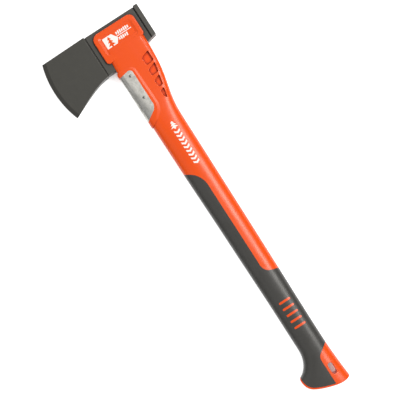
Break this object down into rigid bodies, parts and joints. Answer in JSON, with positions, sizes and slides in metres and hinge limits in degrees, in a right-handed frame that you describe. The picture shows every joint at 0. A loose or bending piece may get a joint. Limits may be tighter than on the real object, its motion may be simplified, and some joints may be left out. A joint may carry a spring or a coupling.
{
  "type": "felling axe",
  "caption": "Felling axe: wedge-shaped steel head with a flat poll, overmoulded hollow composite handle with soft grip, steel overstrike guard, flared butt and hang slot.",
  "frame": {"origin": "centre of the bounding box in plan, on the surface that the axe lies on", "axes": "+X along the handle from the head to the butt, +Y from the cutting edge to the poll, +Z across the axe's thickness"},
  "size_m": [0.6, 0.1644, 0.0332],
  "materials": {
    "coated_steel": "dark grey matt coating",
    "orange_polyamide": "moulded satin orange",
    "grip_rubber": "matt soft dark grey",
    "stainless_steel": "satin pressed sheet",
    "label_film": "satin film"
  },
  "bodies": {
    "root": {"axe_head": "coated_steel", "handle": "orange_polyamide", "butt_cap": "orange_polyamide", "soft_grip": "grip_rubber", "overstrike_guard": "stainless_steel", "guard_rivet_upper": "stainless_steel", "guard_rivet_lower": "stainless_steel", "label_left": "label_film", "label_right": "label_film"}
  },
  "joints": []
}
